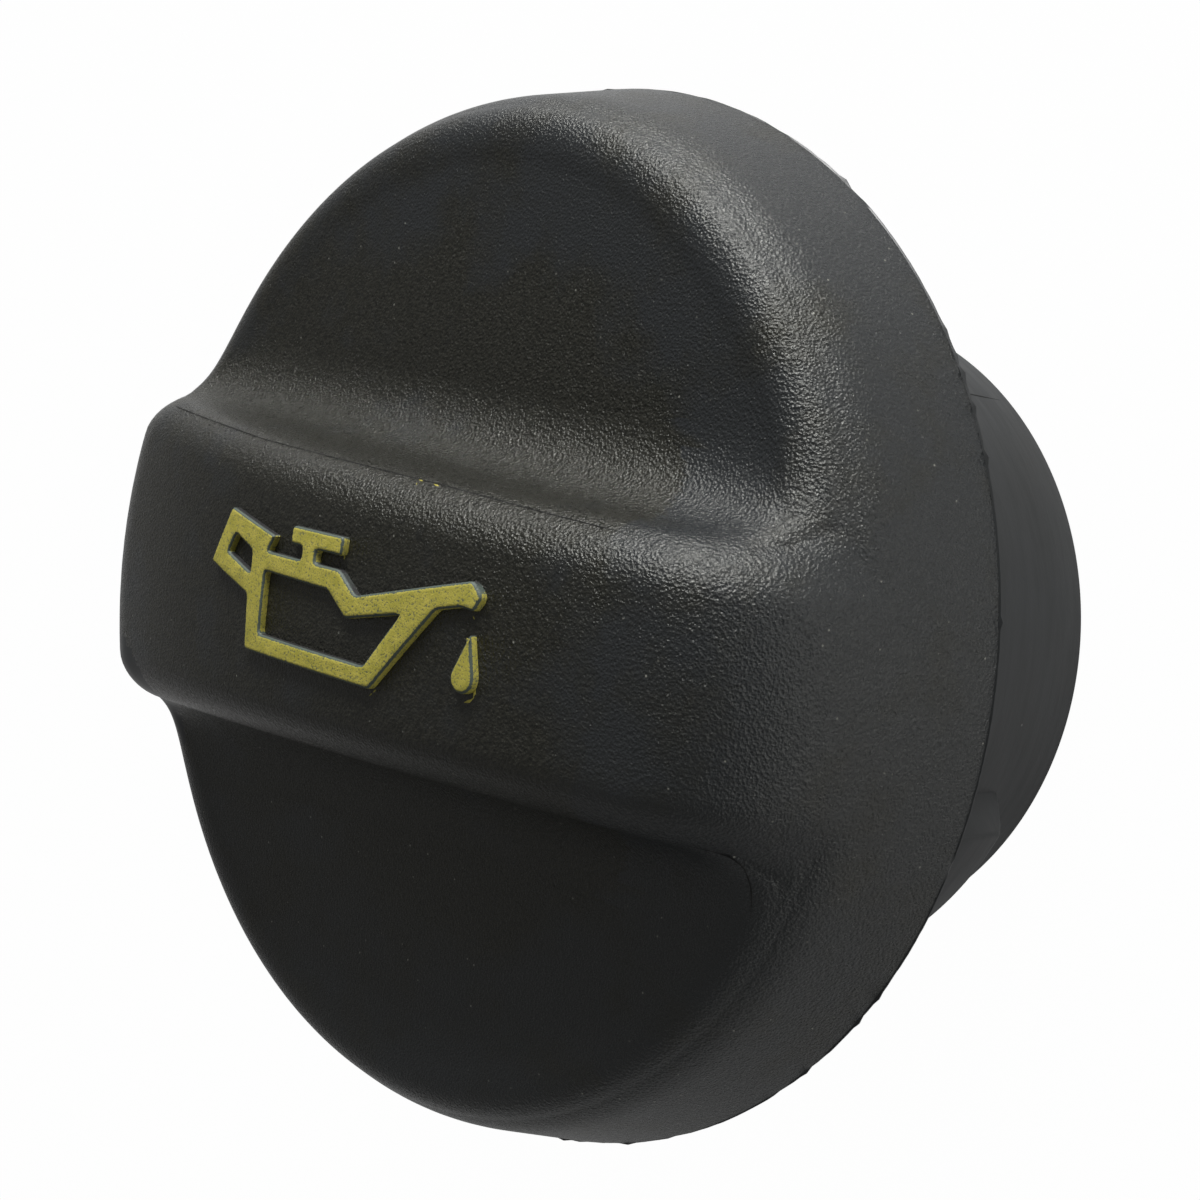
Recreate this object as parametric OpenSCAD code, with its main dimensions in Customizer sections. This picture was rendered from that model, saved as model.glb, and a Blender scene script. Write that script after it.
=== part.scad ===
// Oil filler cap for an engine: a round moulded head with a grip bar left standing
// between two finger scoops, a hollow neck with bayonet lugs, and a seal ring.
// All sizes are in millimetres. Z is the cap's axis, from the neck's open end to the
// head's crown. X runs along the grip bar. The cap stands on its neck at Z = 0.

/* [Head] */
// diameter of the head at its rear rim
head_d = 62; // [54:0.5:74]
// height of the crown above the rear rim
head_h = 18.2; // [15.5:0.1:22]
// draft of the outer wall, in degrees
wall_draft = 15.6; // [8:0.2:20]
// radius of the shallow dome across the crown
dome_r = 93; // [60:1:160]
// rounding from the outer wall into the dome
shoulder_r = 8.7; // [6:0.1:10.5]
// wall of the skirt, measured at the rear rim
skirt_wall = 3; // [2:0.1:4]

/* [Finger scoops] */
// height of the flat scoop floor above the rear rim
scoop_floor = 9; // [7.5:0.1:10]
// width of the ridge left between a scoop and the rim
ridge_w = 2.9; // [2:0.1:5]
// height above the rim at which ridge_w is measured
ridge_h = 9.4; // [9:0.1:11]
// slope of a scoop's curved end wall, in degrees
scoop_slope = 49.8; // [36:0.1:60]
// fillet at the foot of that end wall
scoop_fillet = 6.7; // [3:0.1:8]
// rounding over the crest of the ridge
ridge_round = 5.8; // [3:0.1:7]
// plan rounding in a scoop's two corners
corner_round = 0.8; // [0.5:0.1:4]

/* [Grip bar] */
// width of the bar at its middle, near its top
bar_w = 16.6; // [13:0.1:19]
// height above the rim at which bar_w is measured
bar_h = 13.3; // [12:0.1:15]
// narrowing of each side along the bar, in degrees
bar_taper = 2.9; // [0:0.1:4]
// slope of the bar's sides, in degrees
bar_slope = 81; // [60:0.1:84]
// rounding along the bar's top edges
bar_round = 2.3; // [1:0.1:4]
// fillet at the foot of the bar's sides
bar_fillet = 4.5; // [2:0.1:6]

/* [Neck] */
// outer diameter of the neck
neck_d = 42.7; // [36:0.1:46]
// length of the neck below the head's rear rim
neck_len = 24.9; // [20:0.1:32]
// wall of the neck
neck_wall = 2.7; // [1.8:0.1:4]
// chamfer on the neck's open end
neck_chamfer = 0.5; // [0.2:0.1:1]
// thickness of the roof left under a scoop's floor
roof_t = 2.7; // [2:0.1:3.5]
// wall of the hollow under the grip bar
bar_wall = 3; // [2:0.1:4]
// thickness of the stiffening ribs across that hollow
rib_t = 1.8; // [1:0.1:3]
// spacing of those ribs
rib_pitch = 11; // [8:0.5:14]

/* [Bayonet lugs] */
// number of lugs round the neck
lug_count = 2; // [2:1:3]
// height of a lug above the neck
lug_h = 2.2; // [1.5:0.1:3]
// thickness of a lug along the neck, at its root
lug_t = 6; // [4:0.1:8]
// angle that a lug covers at its root
lug_arc = 48; // [30:1:55]
// angle from the bar to the first lug's near end
lug_start = 19; // [0:1:60]
// length of the pilot that enters the filler opening first
pilot_len = 4.8; // [4:0.1:8]
// step from the pilot up to the neck's full radius
pilot_step = 0.3; // [0.25:0.05:0.5]
// length of the cone between the two
pilot_lead = 0.8; // [0.4:0.1:2]
// distance from the end of that cone to the lugs
lug_gap = 0.4; // [0.2:0.1:2]
// lean of a lug's end faces, in degrees
lug_lead = 36; // [10:1:45]
// fall of a lug's lower face towards its crest
lug_fall = 1.2; // [0.4:0.1:1.8]

/* [Seal ring] */
// radial width of the seal ring
seal_w = 4.4; // [3:0.1:5]
// share of the width from the neck to the outer wall that is left open for the ring
seal_room = 0.72; // [0.6:0.02:0.8]
// thickness of the seal ring
seal_t = 2.6; // [1.5:0.1:3.5]
// chamfer on the seal ring's lower edges
seal_chamfer = 0.4; // [0.2:0.1:0.6]

/* [Oil symbol] */
// height of the raised symbol above the crown
symbol_h = 0.6; // [0.3:0.1:1]
// distance of the symbol's centre from the cap's axis, along the bar
symbol_x = 2; // [-2:0.5:6]
// enlargement of the symbol
symbol_size = 1; // [0.7:0.05:1.1]

/* [Hidden] */

$fn = 96;
eps = 0.01;
head_r = head_d / 2;
neck_r = neck_d / 2;
bore_r = neck_r - neck_wall;
scoop_r = head_r - ridge_w;
recess_h = scoop_floor - roof_t;
recess_r = head_r - skirt_wall;
recess_top_r = neck_r + seal_room * (head_r - recess_h * tan(wall_draft) - neck_r);
seal_r = neck_r + min(seal_w, 0.95 * (recess_top_r - neck_r));
dome_z = head_h - dome_r;
lug_r = neck_r + lug_h;
pilot_r = neck_r - pilot_step;
lug_z = pilot_len + lug_gap;

// The blank: a drafted wall, a shoulder arc tangent to it, and a dome tangent to the arc.
wall_k = tan(wall_draft);
wall_q = sqrt(1 + wall_k * wall_k);
arc_a = head_r - shoulder_r * wall_q;
arc_b = arc_a * wall_k + dome_z;
arc_c = arc_a * arc_a + dome_z * dome_z - pow(dome_r - shoulder_r, 2);
arc_z = (arc_b + sqrt(arc_b * arc_b - wall_q * wall_q * arc_c)) / (wall_q * wall_q);
arc_r = arc_a - wall_k * arc_z;
dome_edge = arc_r * dome_r / (dome_r - shoulder_r);
wall_edge = arc_r + shoulder_r / wall_q;

function blank_z(r) =
    r < dome_edge ? dome_z + sqrt(dome_r * dome_r - r * r) :
    r < wall_edge ? arc_z + sqrt(shoulder_r * shoulder_r - pow(r - arc_r, 2)) :
    (head_r - r) / wall_k;

function blank_slope(r) =
    r < dome_edge ? r / sqrt(dome_r * dome_r - r * r) :
    r < wall_edge ? (r - arc_r) / sqrt(shoulder_r * shoulder_r - pow(r - arc_r, 2)) :
    1 / wall_k;

// A wall that rises from the scoop's floor at an angle, with a fillet at its foot.
// d is the distance past the sharp foot. The result is the height and the slope.
function rise(d, angle, fillet) =
    let (t = fillet * tan(angle / 2))
    d < -t ? [0, 0] :
    d < t * cos(angle) ?
        let (v = sqrt(fillet * fillet - (d + t) * (d + t)))
        [fillet - v, (d + t) / v] :
    [d * tan(angle), tan(angle)];

// A scoop: the bar's side and the curved end wall, blended into one another in the
// corners by a smooth minimum of the distances to both.
bar_foot = (bar_h - scoop_floor) / tan(bar_slope);
ridge_foot = (ridge_h - scoop_floor) / tan(scoop_slope);
bar_lean = tan(bar_taper);

function scoop(x, y) =
    let (
        u = abs(y) - bar_w / 2 + bar_lean * x + corner_round,
        v = scoop_r - norm([x, y]) + corner_round,
        a = pow(max(u, 0.12), -3),
        b = pow(max(v, 0.12), -3),
        d = pow(a + b, -1 / 3) - corner_round + min(u - 0.12, 0) + min(v - 0.12, 0),
        w = a / (a + b),
        side = rise(bar_foot - d, bar_slope, bar_fillet),
        end = rise(ridge_foot - d, scoop_slope, scoop_fillet)
    )
    [scoop_floor + w * side[0] + (1 - w) * end[0], w * side[1] + (1 - w) * end[1], w];

// The head's front: the lower of blank and scoop, rounded where the two meet.
function head_z(x, y) =
    let (
        r = norm([x, y]),
        top = blank_z(r),
        low = scoop(x, y),
        ct = 1 / sqrt(1 + pow(blank_slope(r), 2)),
        cl = 1 / sqrt(1 + low[1] * low[1]),
        e = ridge_round + (bar_round - ridge_round) * low[2],
        at = e - ct * top,
        al = e - cl * low[0],
        p = ct * ct + cl * cl,
        q = ct * at + cl * al,
        s = at * at + al * al - e * e,
        disc = q * q - p * s,
        z = (sqrt(max(disc, 0)) - q) / p,
        both = min(top, low[0])
    )
    disc > 0 && ct * z + at > 0 && cl * z + al > 0 ? min(z, both) : both;

// The front is meshed in two halves, each round the middle of its scoop. Every ring is
// D-shaped, a line along the bar and an arc along the rim, so facets follow the features.
scoop_mid = (bar_w / 2 + scoop_r) / 2;
floor_edge = max(bar_foot + bar_fillet * tan(bar_slope / 2),
    ridge_foot + scoop_fillet * tan(scoop_slope / 2)) + 0.4;
floor_half = scoop_r - scoop_mid;

function span(a, b, n) = [for (i = [1:n]) a + (b - a) * i / n];
ring_d = concat(span(floor_half, floor_edge, 3), span(floor_edge, 0, 13));
ring_t = [for (t = span(0, 1, 12)) t - 0.1 * sin(360 * t)];
rings = len(ring_d) + len(ring_t);
arc_n = 60;
bar_end = 1.6 * (head_r - arc_r);
line_x = concat(
    [-head_r],
    span(-head_r, 1.4 - head_r, 1),
    span(1.4 - head_r, bar_end - head_r, 13),
    span(bar_end - head_r, head_r - bar_end, 7),
    span(head_r - bar_end, head_r - 1.4, 13)
);
loop_n = arc_n + len(line_x);

// Points round one half disc, along the rim and back along the bar's middle, and the
// points on the scoop's outline that they are joined to.
corner_a = asin(bar_w / 2 / scoop_r);
function rim_angle(i) = let (t = 180 * i / arc_n) t - 11 * sin(2 * t);
function polar(r, a) = [r * cos(a), r * sin(a)];
rim_loop = concat(
    [for (i = [0:arc_n - 1]) polar(head_r, rim_angle(i))],
    [for (x = line_x) [x, 0]]
);
scoop_loop = concat(
    [for (i = [0:arc_n - 1])
        polar(scoop_r, corner_a + (1 - corner_a / 90) * rim_angle(i))],
    [for (x = line_x * scoop_r * cos(corner_a) / head_r) [x, bar_w / 2 - bar_lean * x]]
);

// The ring at a distance d inside the scoop's outline, where it crosses the ray from the
// scoop's middle to p. The ring's two corners are slightly rounded.
function inner(p, d) =
    let (
        v = p - [0, scoop_mid],
        a = v * v,
        b = scoop_mid * v[1],
        c = scoop_mid * scoop_mid - pow(scoop_r - d, 2),
        arc = (sqrt(b * b - a * c) - b) / a,
        fall = v[1] + bar_lean * v[0],
        line = fall < 0 ? (bar_w / 2 + d - scoop_mid) / fall : 9 * arc
    )
    [0, scoop_mid] + pow(pow(arc, -12) + pow(line, -12), -1 / 12) * v;

scoop_edge = [for (p = scoop_loop) inner(p, 0)];
half_rings = concat(
    [for (d = ring_d) for (p = scoop_loop) inner(p, d)],
    [for (j = [0:len(ring_t) - 2]) for (i = [0:loop_n - 1])
        scoop_edge[i] + ring_t[j] * (rim_loop[i] - scoop_edge[i])]
);

function lift(x, y) = [x, y, norm([x, y]) > head_r - eps / 10 ? 0 : head_z(x, y)];
head_points = concat(
    [[0, 0, 0], lift(0, scoop_mid), lift(0, -scoop_mid)],
    [for (p = rim_loop) lift(p[0], p[1])],
    [for (p = half_rings) lift(p[0], p[1])],
    [for (i = [1:arc_n - 1]) [rim_loop[i][0], -rim_loop[i][1], 0]],
    [for (p = half_rings) lift(p[0], -p[1])]
);

// Numbers of the points: k is 0 for the upper half and 1 for the lower one.
low_start = 3 + rings * loop_n;
function at(k, j, i) =
    let (m = i % loop_n)
    j < rings - 1 ? (k == 0 ? 3 + loop_n : low_start + arc_n - 1) + j * loop_n + m :
    k == 1 && m > 0 && m < arc_n ? low_start + m - 1 : 3 + m;
function turn(k, f) = k == 0 ? f : [f[2], f[1], f[0]];

// A quad is split along the diagonal that lies closer to the surface.
function miss(a, b) =
    let (m = (head_points[a] + head_points[b]) / 2)
    abs(m[2] - head_z(m[0], m[1]));
function halves(k, a, b, c, d) =
    miss(b, c) < miss(a, d) ?
    [turn(k, [a, b, c]), turn(k, [c, b, d])] :
    [turn(k, [a, b, d]), turn(k, [a, d, c])];
head_faces = concat(
    [for (k = [0, 1]) for (i = [0:loop_n - 1]) turn(k, [k + 1, at(k, 0, i + 1), at(k, 0, i)])],
    [for (k = [0, 1]) for (j = [0:rings - 2]) for (i = [0:loop_n - 1])
        each halves(k, at(k, j, i), at(k, j, i + 1), at(k, j + 1, i), at(k, j + 1, i + 1))],
    [for (k = [0, 1]) for (i = [0:arc_n - 1])
        turn(k, [0, at(k, rings - 1, i), at(k, rings - 1, i + 1)])]
);

module head_blank() {
    translate([0, 0, neck_len])
    polyhedron(points = head_points, faces = head_faces, convexity = 6);
}

// The neck is one turned profile, rooted a little way inside the head's roof.
module neck() {
    rotate_extrude()
    polygon([
        [0, 0],
        [pilot_r - neck_chamfer, 0],
        [pilot_r, neck_chamfer],
        [pilot_r, pilot_len - pilot_lead],
        [neck_r, pilot_len],
        [neck_r, neck_len + recess_h + roof_t / 4],
        [0, neck_len + recess_h + roof_t / 4]
    ]);
}

// One lug: a drafted band with a leaning face at each end.
module lug() {
    difference() {
        rotate([0, 0, -lug_start - lug_arc])
        rotate_extrude(angle = lug_arc)
        polygon([
            [neck_r - neck_wall / 2, lug_z],
            [neck_r, lug_z],
            [lug_r, lug_z + lug_fall],
            [lug_r, lug_z + lug_t],
            [neck_r - neck_wall / 2, lug_z + lug_t]
        ]);
        rotate([0, 0, -lug_start])
        translate([neck_r, 0, lug_z - 1])
        rotate([0, 0, -lug_lead])
        cube([lug_h * 3, lug_h * 4, lug_t + 2]);
        rotate([0, 0, -lug_start - lug_arc])
        mirror([0, 1, 0])
        translate([neck_r, 0, lug_z - 1])
        rotate([0, 0, -lug_lead])
        cube([lug_h * 3, lug_h * 4, lug_t + 2]);
    }
}

// The hollow under the bar follows the dome and is crossed by two ribs.
module bar_core() {
    hollow_w = bar_w - 2 * bar_wall;
    difference() {
        intersection() {
            translate([-bore_r, -hollow_w / 2, neck_len + recess_h - 2])
            cube([2 * bore_r, hollow_w, head_h]);
            translate([0, 0, neck_len])
            cylinder(r = bore_r - 1, h = head_h);
            translate([0, 0, neck_len + dome_z])
            sphere(r = dome_r - bar_wall);
        }
        for (s = [-1, 1])
        translate([s * rib_pitch / 2 - rib_t / 2, -hollow_w, neck_len + recess_h - 0.4])
        cube([rib_t, 2 * hollow_w, head_h]);
    }
}

module cap_body() {
    color([0.17, 0.17, 0.16])
    difference() {
        union() {
            difference() {
                head_blank();
                translate([0, 0, neck_len - 1])
                cylinder(r1 = recess_r + tan(wall_draft), r2 = recess_top_r, h = recess_h + 1);
            }
            neck();
            for (i = [0:lug_count - 1])
            rotate([0, 0, 360 * i / lug_count])
            lug();
        }
        translate([0, 0, -1])
        cylinder(r = bore_r, h = neck_len + recess_h + 0.6);
        bar_core();
    }
}

// The seal ring sits on the roof of the recess, stretched round the neck's root.
module seal_ring() {
    color([0.08, 0.08, 0.08])
    translate([0, 0, neck_len + recess_h - seal_t])
    rotate_extrude()
    polygon([
        [neck_r, seal_chamfer],
        [neck_r + seal_chamfer, 0],
        [seal_r - seal_chamfer, 0],
        [seal_r, seal_chamfer],
        [seal_r, seal_t],
        [neck_r, seal_t]
    ]);
}

// Outlines of the oil can: the handle with its eye, the can with its window and spout,
// the filler on top and the falling drop.
module symbol_outline() {
    difference() {
        polygon([
            [-9.6, 4.2], [-4.9, 3.2], [-5.4, 2.3], [1.0, 2.3], [2.5, 1.2],
            [10.4, 3.3], [11.1, 2.6], [10.7, 1.8], [9.9, 1.9], [8.3, 1.5],
            [4.3, -3.3], [-6.6, -3.3], [-6.9, -0.3], [-11.1, 0.9]
        ]);
        polygon([
            [-5.4, 1.2], [0.3, 1.1], [1.9, -0.1], [5.9, 0.8], [3.7, -2.2], [-5.3, -2.2]
        ]);
        polygon([[-8.8, 2.8], [-6.9, 2.1], [-6.8, 0.9], [-9.4, 1.7]]);
    }
    translate([-3.4, 3])
    square([4.4, 1]);
    translate([-2.3, 2])
    square([1.2, 1.5]);
    translate([10.5, -1.5])
    circle(r = 0.75);
    polygon([[10.7, 0.8], [9.76, -1.37], [11.24, -1.37]]);
}

module oil_symbol() {
    color([0.72, 0.66, 0.24])
    intersection() {
        translate([symbol_x, 0, neck_len])
        linear_extrude(head_h + 2 * symbol_h)
        scale([symbol_size, symbol_size])
        symbol_outline();
        translate([0, 0, neck_len + dome_z])
        difference() {
            sphere(r = dome_r + symbol_h);
            sphere(r = dome_r);
        }
    }
}

cap_body();
seal_ring();
oil_symbol();
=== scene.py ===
import math

import bmesh
import bpy
import numpy as np
from mathutils import Matrix, Vector


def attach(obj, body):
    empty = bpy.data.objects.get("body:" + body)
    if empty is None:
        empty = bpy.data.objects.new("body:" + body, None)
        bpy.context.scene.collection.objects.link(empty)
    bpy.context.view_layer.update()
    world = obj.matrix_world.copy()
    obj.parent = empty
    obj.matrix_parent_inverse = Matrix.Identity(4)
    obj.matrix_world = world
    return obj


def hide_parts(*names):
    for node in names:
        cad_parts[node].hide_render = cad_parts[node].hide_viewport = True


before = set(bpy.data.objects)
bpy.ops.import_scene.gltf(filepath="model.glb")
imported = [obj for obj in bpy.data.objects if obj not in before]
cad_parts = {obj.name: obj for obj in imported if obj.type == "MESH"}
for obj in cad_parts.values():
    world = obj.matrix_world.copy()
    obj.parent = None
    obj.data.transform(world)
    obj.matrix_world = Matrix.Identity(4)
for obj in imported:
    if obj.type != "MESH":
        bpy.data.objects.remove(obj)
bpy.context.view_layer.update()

MM = 0.001
RNG = np.random.default_rng(11)

# ---- sizes in millimetres
# They are those of the part's source, except RIDGE_ROUND, CORNER and SYMBOL_H, which follow
# the photograph more closely than the solids do. The neck is also straight to its end here.

HEAD_R, HEAD_H, SKIRT = 31.0, 18.2, 3.0
WALL_K, DOME_R, SHOULDER = math.tan(math.radians(15.6)), 93.0, 8.7
FLOOR, RIDGE_W, RIDGE_H, SCOOP_SLOPE = 9.0, 2.9, 9.4, math.radians(49.8)
SCOOP_FILLET, BAR_FILLET, RIDGE_ROUND, CORNER = 6.7, 4.5, 3.7, 2.0
BAR_W, BAR_H, BAR_LEAN, BAR_SLOPE = 16.6, 13.3, math.tan(math.radians(2.9)), math.radians(81)
BAR_ROUND, BAR_WALL, RIB_T, RIB_PITCH = 2.3, 3.0, 1.8, 11.0
NECK_R, NECK_LEN, NECK_WALL, ROOF = 21.35, 24.9, 2.7, 2.7
CHAMFER = 0.35
LUG_R, LUG_Z, LUG_T, LUG_FALL = 23.55, 5.2, 6.0, 1.2
LUG_START, LUG_ARC, LUG_LEAN = 19.0, 48.0, math.radians(36)
SYMBOL_H, SYMBOL_X = 0.45, 2.0
FULL_START, FULL_RUN, FULL_ROUND = 18.0, 9.0, 4.5   # the bar's fuller end at the lower left
SOFT, ROUND_MIX = 0.6, 1.5                          # widths of smooth changes in the corners
FLASH = 0.08
BORE_R = NECK_R - NECK_WALL
SCOOP_R = HEAD_R - RIDGE_W
RECESS_H = FLOOR - ROOF
RECESS_R = HEAD_R - SKIRT
RECESS_TOP_R = NECK_R + 0.72 * (HEAD_R - WALL_K * RECESS_H - NECK_R)

# ---- the head's front surface

DOME_Z = HEAD_H - DOME_R
WALL_Q = math.hypot(1, WALL_K)
ARC_A = HEAD_R - SHOULDER * WALL_Q
ARC_B = ARC_A * WALL_K + DOME_Z
ARC_C = ARC_A**2 + DOME_Z**2 - (DOME_R - SHOULDER)**2
ARC_Z = (ARC_B + math.sqrt(ARC_B**2 - WALL_Q**2 * ARC_C)) / WALL_Q**2
ARC_R = ARC_A - WALL_K * ARC_Z
DOME_EDGE = ARC_R * DOME_R / (DOME_R - SHOULDER)
WALL_EDGE = ARC_R + SHOULDER / WALL_Q
BAR_FOOT = (BAR_H - FLOOR) / math.tan(BAR_SLOPE)
RIDGE_FOOT = (RIDGE_H - FLOOR) / math.tan(SCOOP_SLOPE)


def root(v):
    """Square root that stays just above zero."""
    return np.sqrt(np.maximum(v, 1e-9))


def blank(r):
    """Height and slope of the turned blank at a radius."""
    dome, arc = root(DOME_R**2 - r * r), root(SHOULDER**2 - (r - ARC_R)**2)
    z = np.where(r < DOME_EDGE, DOME_Z + dome,
                 np.where(r < WALL_EDGE, ARC_Z + arc, (HEAD_R - r) / WALL_K))
    slope = np.where(r < DOME_EDGE, r / dome,
                     np.where(r < WALL_EDGE, (r - ARC_R) / arc, 1 / WALL_K))
    return z, slope


def rise(d, angle, fillet):
    """A wall that rises past d = 0, with a fillet at its foot."""
    t = fillet * math.tan(angle / 2)
    v = root(fillet**2 - (d + t)**2)
    flat, round_ = d < -t, d < t * math.cos(angle)
    z = np.where(flat, 0, np.where(round_, fillet - v, d * math.tan(angle)))
    slope = np.where(flat, 0, np.where(round_, (d + t) / v, math.tan(angle)))
    return z, slope


def head_z(x, y):
    """Height of the head's front above its rear rim."""
    r = np.hypot(x, y)
    top, top_slope = blank(r)
    # How far a point lies inside the scoop from the bar's edge and from the ridge, and the
    # smaller of the two with a rounded corner.
    u, v = np.abs(y) - BAR_W / 2 + BAR_LEAN * x + CORNER, SCOOP_R - r + CORNER
    in_u, in_v = (u + np.hypot(u, SOFT)) / 2, (v + np.hypot(v, SOFT)) / 2
    a, b = in_u**-3.0, in_v**-3.0
    d = (a + b)**(-1 / 3) - CORNER + u - in_u + v - in_v
    # The scoop's surface goes smoothly from the bar's side wall to the end wall.
    w = a / (a + b)
    side = rise(BAR_FOOT - d, BAR_SLOPE, BAR_FILLET)
    end = rise(RIDGE_FOOT - d, SCOOP_SLOPE, SCOOP_FILLET)
    low = FLOOR + w * side[0] + (1 - w) * end[0]
    low_slope = w * side[1] + (1 - w) * end[1]
    # The edge between the blank and the scoop, rounded with one radius along the bar and
    # another one along the ridge.
    ct, cl = 1 / np.hypot(1, top_slope), 1 / np.hypot(1, low_slope)
    fuller = FULL_ROUND * np.clip((-x - FULL_START) / FULL_RUN, 0, 1) * (y < 0)
    at_bar = 1 / (1 + np.exp(np.clip((u - v) / ROUND_MIX, -30, 30)))
    e = RIDGE_ROUND + (BAR_ROUND + fuller - RIDGE_ROUND) * at_bar
    at, al = e - ct * top, e - cl * low
    p, q, s = ct * ct + cl * cl, ct * at + cl * al, at * at + al * al - e * e
    disc = q * q - p * s
    z = (root(disc) - q) / p
    both = np.minimum(top, low)
    blend = (disc > 0) & (ct * z + at > 0) & (cl * z + al > 0)
    return np.where(blend, np.minimum(z, both), both)


def surface(x, y):
    """Point of the front and its unit normal, in millimetres of the frame."""
    x, y = np.asarray(x, float), np.asarray(y, float)
    e = 0.02
    z = head_z(x, y)
    dx = (head_z(x + e, y) - head_z(x - e, y)) / (2 * e)
    dy = (head_z(x, y + e) - head_z(x, y - e)) / (2 * e)
    n = np.stack([-dx, -dy, np.ones_like(dx)], -1)
    n /= np.linalg.norm(n, axis=-1, keepdims=True)
    return np.stack([x, y, z + NECK_LEN], -1), n


# ---- mesh helpers

def make_object(name, verts, faces, smooth=35):
    """A mesh object from points in millimetres, closed and facing outwards."""
    mesh = bpy.data.meshes.new(name)
    mesh.from_pydata([tuple(map(float, v)) for v in np.asarray(verts) * MM], [],
                     [tuple(map(int, f)) for f in faces])
    bm = bmesh.new()
    bm.from_mesh(mesh)
    bmesh.ops.remove_doubles(bm, verts=bm.verts, dist=2e-7)
    bmesh.ops.recalc_face_normals(bm, faces=bm.faces)
    bm.to_mesh(mesh)
    bm.free()
    obj = bpy.data.objects.new(name, mesh)
    bpy.context.scene.collection.objects.link(obj)
    shade(obj, smooth)
    return obj


def shade(obj, angle):
    """Smooth shading, with the edges above an angle in degrees kept sharp."""
    mesh = obj.data
    mesh.polygons.foreach_set("use_smooth", np.ones(len(mesh.polygons), bool))
    mesh.set_sharp_from_angle(angle=math.radians(angle))
    mesh.update()


def grid_faces(rows, cols, start=0):
    """Quads between closed rows of points that are numbered row by row."""
    i = np.arange(rows - 1)[:, None] * cols
    j = np.arange(cols)[None]
    k = (j + 1) % cols
    quads = np.stack([i + j, i + k, i + cols + k, i + cols + j], -1)
    return quads.reshape(-1, 4) + start


def boolean(obj, cutter, operation):
    """Applies an exact boolean to obj and deletes the cutter."""
    mod = obj.modifiers.new(operation.lower(), "BOOLEAN")
    mod.operation, mod.object, mod.solver = operation, cutter, "EXACT"
    done = bpy.data.meshes.new_from_object(
        obj.evaluated_get(bpy.context.evaluated_depsgraph_get()))
    old = obj.data
    obj.modifiers.clear()
    obj.data = done
    bpy.data.meshes.remove(old)
    bpy.data.objects.remove(cutter)


def turn(points, angle):
    """Points turned about the cap's axis by an angle in degrees."""
    c, s = math.cos(math.radians(angle)), math.sin(math.radians(angle))
    x, y, z = np.moveaxis(np.array(points, float), -1, 0)
    return np.stack([x * c - y * s, x * s + y * c, z], -1)


def circle(radius, angles):
    """Points (x, y) on a circle round the cap's axis."""
    return np.stack([radius * np.cos(angles), radius * np.sin(angles)], -1)


# ---- the moulding: front, rear rim, recess, neck and bore in one closed mesh

ARC_N = 200
EDGE_Z = 0.3
EDGE_R = HEAD_R - WALL_K * EDGE_Z


def span(a, b, n):
    """The ends of n equal steps from a to b."""
    return a + (b - a) * np.arange(1, n + 1) / n


def half_front():
    """Points and triangles of the front's upper half, in D-shaped rings."""
    mid = (BAR_W / 2 + SCOOP_R) / 2
    foot = max(BAR_FOOT + BAR_FILLET * math.tan(BAR_SLOPE / 2),
               RIDGE_FOOT + SCOOP_FILLET * math.tan(SCOOP_SLOPE / 2)) + 0.4
    ring_d = np.concatenate([[foot], span(foot, 0, 32)])
    t = span(0, 1, 28)
    ring_t = t - 0.1 * np.sin(2 * np.pi * t)
    flat_x, wall_x = HEAD_R - 1.6 * (HEAD_R - ARC_R), HEAD_R - 1.4
    stops = [-EDGE_R, -wall_x, -flat_x, flat_x, wall_x, EDGE_R]
    steps = (3, 28, 24, 28, 3)
    line_x = np.concatenate([[-EDGE_R]] + [
        span(stops[k], stops[k + 1], n) for k, n in enumerate(steps)])[:-1]
    t = np.arange(ARC_N) / ARC_N
    rim_a = np.pi * t - math.radians(11) * np.sin(2 * np.pi * t)
    corner = math.asin(BAR_W / 2 / SCOOP_R)
    scoop_a = corner + (1 - 2 * corner / np.pi) * rim_a
    scoop_x = line_x * SCOOP_R * math.cos(corner) / EDGE_R
    rim = np.concatenate([circle(EDGE_R, rim_a), np.stack([line_x, 0 * line_x], -1)])
    scoop = np.concatenate([circle(SCOOP_R, scoop_a),
                            np.stack([scoop_x, BAR_W / 2 - BAR_LEAN * scoop_x], -1)])

    def inner(d):
        """The ring at a distance d inside the scoop's edge, its two corners rounded."""
        v = scoop - [0, mid]
        a, b = (v * v).sum(-1), mid * v[:, 1]
        arc = (np.sqrt(b * b - a * (mid * mid - (SCOOP_R - d)**2)) - b) / a
        fall = v[:, 1] + BAR_LEAN * v[:, 0]
        line = np.where(fall < -1e-6, (BAR_W / 2 + d - mid) / np.minimum(fall, -1e-6),
                        9 * arc)
        return np.array([0, mid]) + ((arc**-12.0 + line**-12.0)**(-1 / 12))[:, None] * v

    edge = inner(0)
    rings = [inner(d) for d in ring_d] + [edge + k * (rim - edge) for k in ring_t]
    xy = np.concatenate(rings)
    cols, rows = len(rim), len(rings)
    quads = grid_faces(rows, cols)
    z = head_z(xy[:, 0], xy[:, 1])
    z[-cols:][:ARC_N] = EDGE_Z

    def miss(a, b):
        """How far an edge between two points would lie off the surface."""
        m = (xy[a] + xy[b]) / 2
        return np.abs((z[a] + z[b]) / 2 - head_z(m[:, 0], m[:, 1]))

    a, b, c, d = quads.T
    first = (miss(a, c) <= miss(b, d))[:, None]
    tris = np.concatenate([
        np.where(first, np.stack([a, b, c], -1), np.stack([a, b, d], -1)),
        np.where(first, np.stack([a, c, d], -1), np.stack([b, c, d], -1))])
    floor_face = np.arange(cols)[::-1]
    return np.column_stack([xy, z + NECK_LEN]), [*tris, floor_face], rim_a


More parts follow.
